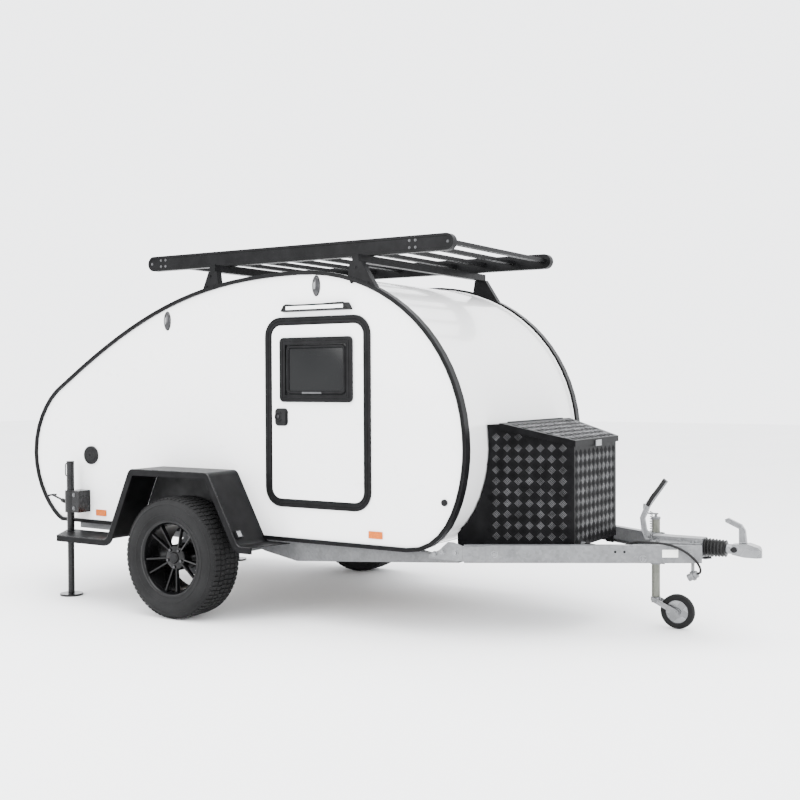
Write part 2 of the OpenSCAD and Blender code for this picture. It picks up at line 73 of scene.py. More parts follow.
def activate(obj):
    """Makes one piece the only one that is selected."""
    bpy.ops.object.select_all(action="DESELECT")
    obj.select_set(True)
    bpy.context.view_layer.objects.active = obj


def start_edit(obj, kind="FACE"):
    activate(obj)
    modes = {"VERT": (True, False, False), "EDGE": (False, True, False), "FACE": (False, False, True)}
    bpy.context.tool_settings.mesh_select_mode = modes[kind]
    bpy.ops.object.mode_set(mode="EDIT")


def end_edit():
    bpy.ops.object.mode_set(mode="OBJECT")


def pick_faces(obj, test):
    """Selects the faces whose centre and normal pass the test, and starts editing them."""
    mesh = obj.data
    for part in (mesh.vertices, mesh.edges, mesh.polygons):
        part.foreach_set("select", [False] * len(part))
    for face in mesh.polygons:
        face.select = test(face.center, face.normal)
    start_edit(obj, "FACE")


def pick_points(obj, test):
    """Selects the vertices whose place passes the test, and starts editing them."""
    mesh = obj.data
    for part in (mesh.vertices, mesh.edges, mesh.polygons):
        part.foreach_set("select", [False] * len(part))
    for point in mesh.vertices:
        point.select = test(point.co)
    start_edit(obj, "VERT")


def apply_place(obj):
    activate(obj)
    bpy.ops.object.transform_apply(location=True, rotation=True, scale=True)


def block(name, low, high):
    """A box between two corners."""
    bpy.ops.mesh.primitive_cube_add(size=1, location=(low + high) / 2)
    obj = bpy.context.object
    obj.name = name
    obj.scale = [abs(b - a) for a, b in zip(low, high)]
    apply_place(obj)
    return obj


def rod(name, start, end, radius, sides=24):
    """A round bar from one point to another."""
    along = end - start
    turn = along.to_track_quat("Z", "Y").to_euler()
    bpy.ops.mesh.primitive_cylinder_add(
        vertices=sides, radius=radius, depth=along.length, location=(start + end) / 2, rotation=turn)
    obj = bpy.context.object
    obj.name = name
    apply_place(obj)
    return obj


def bevel(obj, width, steps=2, angle=30):
    """Rounds the edges sharper than the angle, by a width in millimetres."""
    activate(obj)
    bpy.ops.object.modifier_add(type="BEVEL")
    tool = obj.modifiers[-1]
    tool.width = width * MM
    tool.segments = steps
    tool.limit_method = "ANGLE"
    tool.angle_limit = math.radians(angle)
    bpy.ops.object.modifier_apply(modifier=tool.name)
    return obj


def join(name, parts):
    """Joins the parts into the first one and renames it."""
    activate(parts[0])
    for part in parts[1:]:
        part.select_set(True)
    bpy.ops.object.join()
    parts[0].name = name
    return parts[0]


def copy_of(obj, name):
    twin = bpy.data.objects.new(name, obj.data.copy())
    bpy.context.scene.collection.objects.link(twin)
    return twin


def mend_normals(obj):
    """Merges doubled points and turns every face outwards."""
    start_edit(obj, "VERT")
    bpy.ops.mesh.select_all(action="SELECT")
    bpy.ops.mesh.remove_doubles(threshold=0.01 * MM)
    bpy.ops.mesh.normals_make_consistent(inside=False)
    end_edit()
    return obj


def mirrored(obj, name):
    """The same piece on the other side of the centre plane."""
    twin = copy_of(obj, name)
    twin.scale = (1, -1, 1)
    apply_place(twin)
    return mend_normals(twin)


def moved(obj, name, offset):
    twin = copy_of(obj, name)
    twin.location = offset
    apply_place(twin)
    return twin


def drawn_line(name, points, closed=False):
    """A line of edges drawn point by point."""
    bpy.ops.mesh.primitive_plane_add(size=MM, location=points[0])
    obj = bpy.context.object
    obj.name = name
    start_edit(obj, "VERT")
    bpy.ops.mesh.select_all(action="SELECT")
    bpy.ops.mesh.merge(type="CENTER")
    for here, there in zip(points, points[1:]):
        bpy.ops.mesh.extrude_region_move(TRANSFORM_OT_translate={"value": there - here})
    if closed:
        bpy.ops.mesh.extrude_region_move(TRANSFORM_OT_translate={"value": points[0] - points[-1]})
        bpy.ops.mesh.select_all(action="SELECT")
        bpy.ops.mesh.remove_doubles(threshold=0.001 * MM)
    end_edit()
    apply_place(obj)
    return obj


def lathe(name, points, centre, axis, steps=48, closed=False):
    """Spins a drawn profile a whole turn."""
    obj = drawn_line(name, points, closed)
    start_edit(obj, "VERT")
    bpy.ops.mesh.select_all(action="SELECT")
    bpy.ops.mesh.spin(steps=steps, angle=math.tau, center=centre, axis=axis)
    end_edit()
    return mend_normals(obj)


def ring_of(obj, count, centre, axis):
    """Repeats a piece's mesh round an axis."""
    start_edit(obj, "VERT")
    bpy.ops.mesh.select_all(action="SELECT")
    part_turn = math.tau * (count - 1) / count
    bpy.ops.mesh.spin(steps=count - 1, angle=part_turn, center=centre, axis=axis, dupli=True)
    end_edit()
    return obj


def wire(name, points, radius, sides=6, closed=False):
    """A round wire or tube along a drawn line, with closed ends."""
    obj = drawn_line(name, points, closed)
    activate(obj)
    bpy.ops.object.convert(target="CURVE")
    obj = bpy.context.object
    obj.data.bevel_depth = radius * MM
    obj.data.bevel_resolution = sides // 2 - 1
    obj.data.use_fill_caps = True
    bpy.ops.object.convert(target="MESH")
    obj = bpy.context.object
    obj.name = name
    return mend_normals(obj)


def slab(name, points, push):
    """A plate drawn by its outline and pushed out to its thickness."""
    obj = drawn_line(name, points, closed=True)
    start_edit(obj, "VERT")
    bpy.ops.mesh.select_all(action="SELECT")
    bpy.ops.mesh.edge_face_add()
    bpy.ops.mesh.extrude_region_move(TRANSFORM_OT_translate={"value": push})
    end_edit()
    return mend_normals(obj)


def rounded_box(x, z, width, height, radius, y):
    """Outline of an upright rectangle with rounded corners, at a side position."""
    corners = [(x - width / 2, z - height / 2), (x + width / 2, z - height / 2),
               (x + width / 2, z + height / 2), (x - width / 2, z + height / 2)]
    return rounded_line([at(a, y, b) for a, b in corners], radius * MM, closed=True)


def round_corner(before, corner, after, radius, steps=6):
    """Points of an arc that rounds one corner of a line."""
    a = (before - corner).normalized()
    b = (after - corner).normalized()
    half = a.angle(b) / 2
    reach = radius / math.tan(half)
    centre = corner + (a + b).normalized() * radius / math.sin(half)
    start = (corner + a * reach - centre).normalized()
    end = (corner + b * reach - centre).normalized()
    return [centre + start.slerp(end, i / steps).normalized() * radius for i in range(steps + 1)]


def rounded_line(points, radius, closed=False, steps=6):
    """A line whose corners are rounded, radius in metres."""
    count = len(points)
    result = []
    for i, corner in enumerate(points):
        if not closed and i in (0, count - 1):
            result.append(corner)
        else:
            result += round_corner(points[i - 1], corner, points[(i + 1) % count], radius, steps)
    return result


def from_frame(node, name, flat=1.0):
    """A merged copy of a CAD node; flat is the angle up to which faces are made one, or 0 to leave them."""
    obj = bpy.data.objects.new(name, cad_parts[node].data.copy())
    bpy.context.scene.collection.objects.link(obj)
    obj.data.materials.clear()
    start_edit(obj, "VERT")
    bpy.ops.mesh.select_all(action="SELECT")
    bpy.ops.mesh.customdata_custom_splitnormals_clear()
    bpy.ops.mesh.remove_doubles(threshold=0.01 * MM)
    if flat:
        bpy.ops.mesh.dissolve_limited(angle_limit=math.radians(flat))
    end_edit()
    return obj


def piece(obj, body, material, nodes=(), smooth=35):
    """Finishes a piece: smooth faces, its material, its body and the nodes that it stands for."""
    activate(obj)
    if not obj.data.materials:
        obj.data.materials.append(material)
    bpy.ops.object.shade_smooth_by_angle(angle=math.radians(smooth))
    bpy.ops.object.modifier_add(type="WEIGHTED_NORMAL")
    obj.modifiers[-1].keep_sharp = True
    bpy.ops.object.modifier_apply(modifier=obj.modifiers[-1].name)
    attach(obj, body)
    if nodes:
        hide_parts(*nodes)
    return obj


def both(obj, name, bodies, material, smooth=35):
    """Finishes a piece drawn on the right side and its mirror image on the left."""
    twin = mirrored(obj, "left_" + name)
    obj.name = "right_" + name
    piece(obj, bodies[0], material, smooth=smooth)
    piece(twin, bodies[1], material, smooth=smooth)


def paint(obj, test, material):
    """Gives the faces that pass the test another material."""
    obj.data.materials.append(material)
    index = len(obj.data.materials) - 1
    for face in obj.data.polygons:
        if test(face.center, face.normal):
            face.material_index = index


ON_TRAILER = ("trailer", "trailer")
ON_DOORS = ("right_door", "left_door")
ON_WHEELS = ("right_wheel", "left_wheel")
ON_STEADIES = ("right_steady", "left_steady")


# ---- Finishes -------------------------------------------------------------------------------


class Finish:
    """A material built from noise and relief on the piece's own coordinates."""

    def __init__(self, name, rough, metal=0.0, coat=0.0):
        self.material = bpy.data.materials.new(name)
        self.material.use_nodes = True
        self.nodes = self.material.node_tree.nodes
        self.links = self.material.node_tree.links
        self.shader = self.nodes["Principled BSDF"]
        self.shader.inputs["Metallic"].default_value = metal
        self.shader.inputs["Roughness"].default_value = rough
        self.shader.inputs["Coat Weight"].default_value = coat
        self.coords = self.nodes.new("ShaderNodeTexCoord").outputs["Object"]
        self.height = None

    def add(self, kind, **values):
        node = self.nodes.new(kind)
        for name, value in values.items():
            if name in node.inputs:
                node.inputs[name].default_value = value
            else:
                setattr(node, name, value)
        return node

    def noise(self, scale, detail=4.0):
        node = self.add("ShaderNodeTexNoise", Scale=scale, Detail=detail)
        self.links.new(self.coords, node.inputs["Vector"])
        return node.outputs["Fac"]

    def cells(self, scale, output="Color"):
        node = self.add("ShaderNodeTexVoronoi", Scale=scale)
        self.links.new(self.coords, node.inputs["Vector"])
        return node.outputs[output]

    def bands(self, scale, direction, distortion=0.0):
        node = self.add("ShaderNodeTexWave", Scale=scale, Distortion=distortion, bands_direction=direction)
        self.links.new(self.coords, node.inputs["Vector"])
        return node.outputs["Fac"]

    def ramp(self, source, low, high):
        node = self.add("ShaderNodeMapRange")
        self.links.new(source, node.inputs["Value"])
        node.inputs["To Min"].default_value = low
        node.inputs["To Max"].default_value = high
        return node.outputs["Result"]

    def colours(self, source, dark, light, start=0.3, end=0.7):
        node = self.nodes.new("ShaderNodeValToRGB")
        node.color_ramp.elements[0].position = start
        node.color_ramp.elements[0].color = (*dark, 1)
        node.color_ramp.elements[1].position = end
        node.color_ramp.elements[1].color = (*light, 1)
        self.links.new(source, node.inputs["Fac"])
        self.links.new(node.outputs["Color"], self.shader.inputs["Base Color"])
        return node.outputs["Color"]

    def roughness(self, source, low, high):
        self.links.new(self.ramp(source, low, high), self.shader.inputs["Roughness"])

    def relief(self, source, strength, depth):
        node = self.add("ShaderNodeBump", Strength=strength, Distance=depth * MM)
        self.links.new(source, node.inputs["Height"])
        if self.height is not None:
            self.links.new(self.height, node.inputs["Normal"])
        self.height = node.outputs["Normal"]
        self.links.new(self.height, self.shader.inputs["Normal"])


def gelcoat(name, tone, rough, coat):
    """White body sheet: almost even, with a faint waviness in its gloss."""
    f = Finish(name, rough, coat=coat)
    f.colours(f.noise(2.2, 2.0), [tone * 0.985] * 3, [tone] * 3)
    f.roughness(f.noise(9.0), rough - 0.04, rough + 0.05)
    f.relief(f.noise(120.0, 2.0), 0.04, 0.3)
    return f.material


def satin(name, dark, light, rough, grain=900.0, strength=0.15, metal=0.0, depth=0.2, shine=0.3):
    """Black coats and mouldings: a fine grain, with a slow change of tone."""
    f = Finish(name, rough, metal)
    f.shader.inputs["Specular IOR Level"].default_value = shine
    f.colours(f.noise(14.0), dark, light)
    f.roughness(f.noise(30.0), max(rough - 0.07, 0.03), rough + 0.07)
    f.relief(f.noise(grain, 3.0), strength, depth)
    return f.material


def zinc(name, dark, light, rough, metal, spangle=70.0):
    """Hot-dip zinc: spangles of slightly different grey, and a cloudy bloom."""
    f = Finish(name, rough, metal)
    cloud = f.noise(11.0, 5.0)
    grains = f.cells(spangle)
    mix = f.add("ShaderNodeMix", data_type="FLOAT")
    mix.inputs["Factor"].default_value = 0.35
    f.links.new(cloud, mix.inputs["A"])
    f.links.new(grains, mix.inputs["B"])
    f.colours(mix.outputs["Result"], dark, light, 0.2, 0.8)
    f.roughness(grains, rough - 0.08, rough + 0.1)
    f.relief(f.noise(260.0), 0.08, 0.3)
    return f.material


def rubber(name, dark, light, rough, grain=420.0, strength=0.3):
    """Dull rubber with a coarse grain and a greyer bloom."""
    f = Finish(name, rough)
    f.shader.inputs["Specular IOR Level"].default_value = 0.12
    f.colours(f.noise(6.0, 6.0), dark, light, 0.25, 0.8)
    f.roughness(f.noise(60.0), rough - 0.1, rough + 0.08)
    f.relief(f.noise(grain), strength, 0.4)
    return f.material


def board(name, dark, light, rough, direction="X"):
    """Plywood: long grain with a few darker growth bands."""
    f = Finish(name, rough)
    f.colours(f.bands(7.0, direction, 6.0), dark, light, 0.1, 0.9)
    f.relief(f.bands(60.0, direction, 3.0), 0.1, 0.3)
    f.roughness(f.noise(20.0), rough - 0.06, rough + 0.08)
    return f.material


def lens(name, dark, light, ribs):
    """A moulded lamp lens with its prisms."""
    f = Finish(name, 0.2)
    f.shader.inputs["Specular IOR Level"].default_value = 0.2
    f.colours(f.cells(ribs, "Distance"), dark, light, 0.0, 0.6)
    f.relief(f.cells(ribs, "Distance"), 0.5, 0.8)
    return f.material


def tinted_acrylic(name):
    """Dark window acrylic, seen as closed from outside."""
    f = Finish(name, 0.05)
    f.shader.inputs["Specular IOR Level"].default_value = 0.12
    f.colours(f.noise(3.0, 1.0), (0.003, 0.0032, 0.0035), (0.006, 0.0063, 0.0065))
    f.roughness(f.noise(5.0, 1.0), 0.05, 0.12)
    return f.material


def glowing(name, colour, strength):
    """A lamp strip that gives a little light of its own."""
    f = Finish(name, 0.3)
    f.colours(f.noise(40.0), [0.93 * c for c in colour], colour)
    f.shader.inputs["Emission Color"].default_value = (*colour, 1)
    f.shader.inputs["Emission Strength"].default_value = strength
    return f.material


WHITE = gelcoat("white_sheet", 0.84, 0.28, 0.25)
# Painted shade: the roof and front skin are the same white sheet as the walls, coloured darker to stand in
# for their shading.
SHADED_FRONT = gelcoat("front_sheet_painted_shade", 0.62, 0.2, 0.4)
TRIM = satin("edge_trim_black", (0.003, 0.003, 0.0032), (0.006, 0.006, 0.0064), 0.3, shine=0.05)
DOOR_TRIM = satin("door_trim_black", (0.0035, 0.0035, 0.0037), (0.007, 0.007, 0.0074), 0.33, shine=0.05)
PLASTIC = satin("grained_plastic", (0.004, 0.004, 0.0044), (0.009, 0.009, 0.0094),
                0.5, 1400.0, 0.3, shine=0.1)
GLASS = tinted_acrylic("tinted_window")
POWDER = satin("black_powder_coat", (0.003, 0.003, 0.0032), (0.006, 0.006, 0.0064),
               0.42, 700.0, 0.25, shine=0.05)
# Painted shade: a dark material for a sheet inside the wheel arch, standing in for the fender's shadow on the
# white wall.
ARCH_SHADE = satin("arch_painted_shade", (0.012, 0.012, 0.0125), (0.024, 0.024, 0.0245), 0.6, 300.0, 0.2, shine=0.1)
TUBE_BLACK = satin("black_tube_coat", (0.003, 0.003, 0.0033), (0.007, 0.007, 0.0075),
                   0.27, 500.0, 0.08, shine=0.2)
RACK = satin("rack_coat", (0.003, 0.003, 0.0032), (0.006, 0.006, 0.0064), 0.36, 1100.0, 0.2, shine=0.05)
PLATE = satin("tread_plate_black", (0.002, 0.002, 0.0022), (0.005, 0.005, 0.0054),
              0.36, 500.0, 0.1, shine=0.03)
# Painted highlight: bars of one lean are coloured bright where that lean catches the light. This is not wear.
GLINT_BARS = satin("tread_bar_painted_glint", (0.03, 0.03, 0.031), (0.14, 0.14, 0.144), 0.34, 300.0, 0.1, metal=0.7)
ZINC = zinc("galvanised", (0.075, 0.0765, 0.079), (0.15, 0.153, 0.157), 0.42, 0.35)
OLD_ZINC = zinc("dull_galvanised", (0.05, 0.051, 0.0525), (0.1, 0.102, 0.105), 0.5, 0.3)
WARM_ZINC = zinc("passivated_zinc", (0.07, 0.0715, 0.059), (0.13, 0.133, 0.112), 0.4, 0.4)
BRIGHT = zinc("bright_zinc", (0.1, 0.102, 0.105), (0.21, 0.214, 0.22), 0.26, 0.6, 25.0)
CHROME = satin("chrome", (0.022, 0.022, 0.0227), (0.06, 0.06, 0.062), 0.16, 200.0, 0.02, metal=1.0)
ARM = satin("painted_casting", (0.03, 0.03, 0.032), (0.07, 0.07, 0.073), 0.55, 160.0, 0.35, depth=0.8)
TYRE = rubber("tyre_rubber", (0.004, 0.004, 0.0041), (0.01, 0.01, 0.0102), 0.75)
BELLOWS = rubber("bellows_rubber", (0.005, 0.005, 0.005), (0.013, 0.013, 0.013), 0.4, 200.0, 0.15)
SHEATH = rubber("lead_sheath", (0.004, 0.004, 0.004), (0.01, 0.01, 0.01), 0.5, 700.0, 0.1)
RIM = satin("rim_gloss_black", (0.0015, 0.0015, 0.0016), (0.004, 0.004, 0.0043),
            0.16, 200.0, 0.03, shine=0.16)
AMBER = lens("amber_lens", (0.22, 0.035, 0.0005), (0.48, 0.1, 0.002), 190.0)
RED = lens("red_lens", (0.13, 0.002, 0.002), (0.3, 0.007, 0.007), 170.0)
CLEAR = lens("clear_lens", (0.06, 0.061, 0.0625), (0.2, 0.203, 0.207), 130.0)
STRIP = glowing("lamp_strip", (0.86, 0.87, 0.86), 0.25)
BLANK = satin("blank_plate", (0.66, 0.66, 0.63), (0.76, 0.76, 0.73), 0.4, 90.0, 0.05)
FLOOR_BOARD = board("floor_board", (0.09, 0.065, 0.045), (0.17, 0.13, 0.09), 0.6)
INNER_BOARD = board("inner_board", (0.5, 0.46, 0.38), (0.62, 0.57, 0.48), 0.5, "Z")
WORKTOP = board("oiled_worktop", (0.25, 0.15, 0.07), (0.42, 0.27, 0.14), 0.38, "Y")


# ---- Camera and lead ------------------------------------------------------------------------

CAMERA_YAW, CAMERA_PITCH, CAMERA_ROLL = 31.873, 1.0215, 0.2587
camera_data = bpy.data.cameras.new("camera")
camera_data.sensor_width = 36
camera_data.lens = 50.995
camera_data.clip_end = 200
camera = bpy.data.objects.new("camera", camera_data)
bpy.context.scene.collection.objects.link(camera)
camera.matrix_world = (
    Matrix.Translation(at(4796, -6177, 1444))
    @ Matrix.Rotation(math.radians(CAMERA_YAW), 4, "Z")
    @ Matrix.Rotation(math.radians(90 - CAMERA_PITCH), 4, "X")
    @ Matrix.Rotation(math.radians(-CAMERA_ROLL), 4, "Z"))
bpy.context.scene.camera = camera

LEAD_D = 13
LEAD_ROUTE = [
    (2312, -215, 514), (2335, -215, 514), (2380, -219, 511), (2430, -227, 507), (2480, -236, 507),
    (2525, -238, 514), (2562, -236, 528), (2595, -230, 543), (2630, -232, 551), (2665, -237, 553),
    (2700, -232, 552), (2735, -219, 550), (2770, -202, 545), (2805, -185, 536), (2840, -166, 520),
    (2870, -148, 500), (2895, -134, 478), (2916, -122, 454), (2930, -112, 430), (2937, -105, 408),
    (2933, -97, 388.3), (2918, -97, 380)]


def electric_lead():
    """The lead that leaves the toolbox, crosses the rail and ends in its parking socket."""
    points = [at(*p) for p in LEAD_ROUTE]
    between = []
    for i in range(len(points) - 1):
        before, after = points[max(i - 1, 0)], points[min(i + 2, len(points) - 1)]
        here, there = points[i], points[i + 1]
        for t in (0, 0.25, 0.5, 0.75):
            a = (there - before) / 2
            b = (after - here) / 2
            between.append((2 * t**3 - 3 * t**2 + 1) * here + (t**3 - 2 * t**2 + t) * a
                           + (3 * t**2 - 2 * t**3) * there + (t**3 - t**2) * b)
    between.append(points[-1])
    lead = wire("electric_lead_sheath", between, LEAD_D / 2, 12)
    piece(lead, "trailer", SHEATH, ["electric_lead"])


electric_lead()


# ---- Pieces carried over from the CAD --------------------------------------------------------


def dress(node, body, material, width):
    """A copy of a CAD node with its edges rounded."""
    obj = from_frame(node, node + "_dressed")
    obj.data.materials.append(material)
    bevel(obj, width)
    return piece(obj, body, material, [node])


def panelled(node, name, test, steps, outer, inner, width=1.0, flat=1.0):
    """A copy of a CAD node with stepped borders pressed into the faces that pass the test."""
    obj = from_frame(node, name, flat)
    obj.data.materials.append(outer)
    obj.data.materials.append(inner)
    pick_faces(obj, test)
    for thickness, depth in steps:
        bpy.ops.mesh.inset(thickness=thickness * MM, depth=0)
        if depth:
            bpy.ops.mesh.inset(thickness=0.5 * MM, depth=depth * MM)
    obj.active_material_index = 1
    bpy.ops.object.material_slot_assign()
    end_edit()
    if width:
        bevel(obj, width, 2, 40)
    return obj


def bolt(name, place, direction, size, washer=True):
    """A hexagon bolt head on its washer, standing on a face."""
    out = Vector(direction).normalized()
    head = rod(name, place, place + out * size * 0.42 * MM, size * 0.55 * MM, 6)
    bevel(head, size * 0.05, 1)
    if washer:
        ring = rod(name + "_washer", place, place + out * size * 0.12 * MM, size * 0.85 * MM, 20)
        head = join(name, [head, ring])
    return head


def bolts(name, places, direction, size, body="trailer", material=BRIGHT, sides=2):
    """Bolts on the right side, and their mirror images when there are two sides."""
    made = join(name, [bolt(name, at(*p), direction, size) for p in places])
    if sides == 2:
        both(made, name, (body, body), material)
    else:
        piece(made, body, material)


def sideways(_centre, normal):
    """Test for faces that look to the left or right."""
    return abs(normal.y) > UPRIGHT


def outward_side(y):
    """Test for the upright outer faces beyond a given distance from the centre plane."""
    return lambda centre, normal: normal.y * math.copysign(1, centre.y) > UPRIGHT and abs(centre.y) > y * MM


def chassis():
    for node, slot, material, width in (
            ("drawbar_rails", "galvanised", ZINC, 2.0), ("cross_members", "galvanised", ZINC, 2.0),
            ("splice_plates", "galvanised", ZINC, 1.0), ("side_members", "dull_galvanised", OLD_ZINC, 1.5),
            ("axle_tube", "dull_galvanised", OLD_ZINC, 0.8), ("swing_arms", "arm_steel", ARM, 2.0),
            ("floor_panel", "floor_board", FLOOR_BOARD, 1.0), ("overrun_housing", "galvanised", ZINC, 2.0),
            ("bellows", "bellows_rubber", BELLOWS, 2.5), ("coupling_head", "bright_steel", BRIGHT, 3.0),
            ("jockey_clamp", "galvanised", ZINC, 1.5), ("jockey_tube", "galvanised", WARM_ZINC, 1.5),
            ("jockey_fork", "galvanised", BRIGHT, 1.2), ("plug_holder", "galvanised", ZINC, 1.2)):
        body = node if node in ("jockey_tube", "jockey_fork") else "trailer"
        dress(node, body, material, width)


RAIL_ANGLE = math.radians(29.9)
RAIL_FRONT = (2942, 90)


def on_rail(along, out, z):
    """A point on the right drawbar rail: back from its front end, and out from its web."""
    x = RAIL_FRONT[0] - along * math.cos(RAIL_ANGLE) + out * math.sin(RAIL_ANGLE)
    y = RAIL_FRONT[1] + along * math.sin(RAIL_ANGLE) + out * math.cos(RAIL_ANGLE)
    return (x, -y, z)


RAIL_OUT = (math.sin(RAIL_ANGLE), -math.cos(RAIL_ANGLE), 0)


def drawbar_fittings():
    rail = [on_rail(a, 0, z) for a, z in ((62, 486), (1128, 486), (320, 462))]
    bolts("rail_bolts", rail, RAIL_OUT, 24)
    splice = [(1690, -741, 492), (1770, -741, 492), (1640, -741, 474)]
    bolts("splice_bolts", splice, (0, -1, 0), 22)
    housing = [(x, -46, z) for x in (2672, 2800, 2896) for z in (486, 542)]
    bolts("housing_bolts", housing, (0, -1, 0), 18)
    top = [(2700, -110, 543), (2880, -62, 543)]
    bolts("housing_top_bolts", top, (0, 0, 1), 16)
    holes = [rod("rail_hole", at(*on_rail(a, -0.4, 500)), at(*on_rail(a, 0.4, 500)), 7 * MM, 20)
             for a in (420, 470)]
    both(bevel(join("rail_holes", holes), 0.2, 1), "rail_hole_rims", ON_TRAILER, PLASTIC)
    corners = [on_rail(a, 0.9, z) for a, z in ((130, 470), (215, 512))]
    low, high = Vector(at(*corners[1])), Vector(at(*corners[0]))
    mark = beam("rail_plate", (low + high) / 2 - Vector(RAIL_OUT) * 0.6 * MM,
                (low + high) / 2 + Vector(RAIL_OUT) * 0.6 * MM, 86 * MM, 42 * MM, (0, 0, 1))
    piece(bevel(mark, 0.4, 1), "trailer", BLANK)


def beam(name, start, end, width, depth, normal):
    """A rectangular bar between two points; depth lies along the normal."""
    along = (end - start).normalized()
    across = Vector(normal).cross(along).normalized()
    up = along.cross(across)
    turn = Matrix((across, up, along)).transposed().to_euler()
    bpy.ops.mesh.primitive_cube_add(size=1, location=(start + end) / 2, rotation=turn)
    obj = bpy.context.object
    obj.name = name
    obj.scale = (width, depth, (end - start).length)
    apply_place(obj)
    return obj


def coupling():
    handle = panelled("coupling_handle", "coupling_handle_dressed", sideways, [(6, -2.5)], BRIGHT, ZINC, 1.5)
    piece(handle, "trailer", BRIGHT, ["coupling_handle"])
    lever = panelled("handbrake_lever", "handbrake_lever_dressed", sideways, [(7, -2)], BRIGHT, ZINC, 1.2)
    paint(lever, lambda centre, normal: centre.z > GRIP_LOW * MM and not sideways(centre, normal), BELLOWS)
    piece(lever, "trailer", BRIGHT, ["handbrake_lever"])
    line = [at(2627, -64, 733), at(2652, -64, 778), at(2690, -64, 827), at(2727, -64, 880)]
    grip = wire("handbrake_grip", rounded_line(line, 60 * MM), 14, 16)
    piece(bevel(grip, 3, 2, 60), "trailer", BELLOWS)
    spring = [at(2640 - 8 * math.cos(t * 1.2), -44 - 8 * math.sin(t * 1.2), 548 + 2.6 * t)
              for t in range(60)]
    piece(wire("brake_spring", spring, 2.0, 6), "trailer", OLD_ZINC)
    bolts("lever_pivot", [(2636, -72, 572)], (0, -1, 0), 20, sides=1)
    edge = [(3098, -36, 516), (3098, -44, 516), (3100, -46, 527), (3098, -44, 531), (3098, -36, 532)]
    button = lathe("coupling_button", [at(*p) for p in edge], at(3098, -36, 516), (0, 1, 0), 28)
    piece(button, "trailer", PLASTIC)
    nose = [(3070, -28, 515), (3070, 28, 515)]
    for place in nose:
        made = bolt("shaft_bolt", at(*place), (0, math.copysign(1, place[1]), 0), 20)
        piece(made, "trailer", BRIGHT)


def jockey_parts():
    top = at(JOCKEY_X, JOCKEY_Y, 626)
    cap = rod("jockey_cap", top, top + Vector((0, 0, 14 * MM)), 27 * MM, 28)
    stem = rod("crank_stem", top, top + Vector((0, 0, 30 * MM)), 8 * MM, 16)
    arm = beam("crank_arm", top + Vector((14 * MM, 0, 32 * MM)), top + Vector((-76 * MM, 0, 32 * MM)),
               16 * MM, 8 * MM, (0, 0, 1))
    knob = rod("crank_knob", top + Vector((-66 * MM, 0, 34 * MM)), top + Vector((-66 * MM, 0, 86 * MM)),
               11 * MM, 20)
    piece(bevel(join("jockey_crank", [cap, stem, arm, knob]), 1.5), "jockey_tube", ZINC)
    tommy = rod("clamp_screw", at(JOCKEY_X, 237, 455), at(JOCKEY_X, 262, 455), 8 * MM, 16)
    bar = rod("clamp_bar", at(2540, 258, 455), at(2620, 258, 455), 5 * MM, 14)
    ends = [rod("clamp_knob", at(x, 258, 455), at(x + 10, 258, 455), 8 * MM, 14) for x in (2532, 2618)]
    lug = block("clamp_lug", at(2566, 228, 425), at(2594, 240, 490))
    piece(bevel(join("jockey_clamp_handle", [tommy, bar, lug] + ends), 1.2), "trailer", BRIGHT)
    axle = at(2710, JOCKEY_Y, 100)
    half = [(8.2, -26), (22, -26), (24, -14), (64, -14), (66, -18), (68, -20), (86, -23), (95, -19),
            (99.8, -9)]
    profile = half + [(r, -w) for r, w in reversed(half)]
    points = [axle + Vector((0, w * MM, r * MM)) for r, w in profile]
    wheel = lathe("jockey_wheel_dressed", points, axle, (0, 1, 0), 64, closed=True)
    wheel.data.materials.append(TYRE)
    paint(wheel, lambda c, n: math.hypot(c.x - axle.x, c.z - axle.z) < 66.5 * MM, BRIGHT)
    piece(wheel, "jockey_wheel", TYRE, ["jockey_wheel"])


# ---- Body shell -----------------------------------------------------------------------------


def shell():
    for node, slot, material, width in (
            ("side_walls", "white_panel", WHITE, 0.6), ("roof_and_front_skin", "front_skin", SHADED_FRONT, 0.6),
            ("rear_valance", "white_panel", WHITE, 1.5),
            ("galley_bulkhead", "inner_board", INNER_BOARD, 0.8),
            ("galley_dividers", "inner_board", INNER_BOARD, 0.8),
            ("galley_worktop", "worktop", WORKTOP, 2.0)):
        dress(node, "trailer", material, width)
    dress("rear_hatch", "hatch", WHITE, 1.5)
    for side, body in (("right", "right_door"), ("left", "left_door")):
        dress(side + "_door", body, WHITE, 1.2)
    trims = panelled("edge_trims", "edge_trims_dressed", outward_side(785), [(4, -1.2), (9, 1.2)],
                     TRIM, TRIM, 2.2)
    piece(trims, "trailer", TRIM, ["edge_trims"])
    frames = panelled("door_frames", "door_frames_dressed", outward_side(780), [(6, -2), (12, 2), (4, 0)],
                      DOOR_TRIM, DOOR_TRIM, 1.4)
    piece(frames, "trailer", DOOR_TRIM, ["door_frames"])
    for side, body in (("right", "right_door"), ("left", "left_door")):
        frame_copy = panelled(side + "_window_frame", side + "_window_frame_dressed", outward_side(790),
                              [(5, -1.5), (14, -3)], DOOR_TRIM, DOOR_TRIM, 1.2, flat=0)
        piece(frame_copy, body, DOOR_TRIM, [side + "_window_frame"])
        pane = panelled(side + "_window_glass", side + "_window_glass_dressed", outward_side(780),
                        [(4, -0.8)], GLASS, GLASS, 0.5)
        piece(pane, body, GLASS, [side + "_window_glass"])


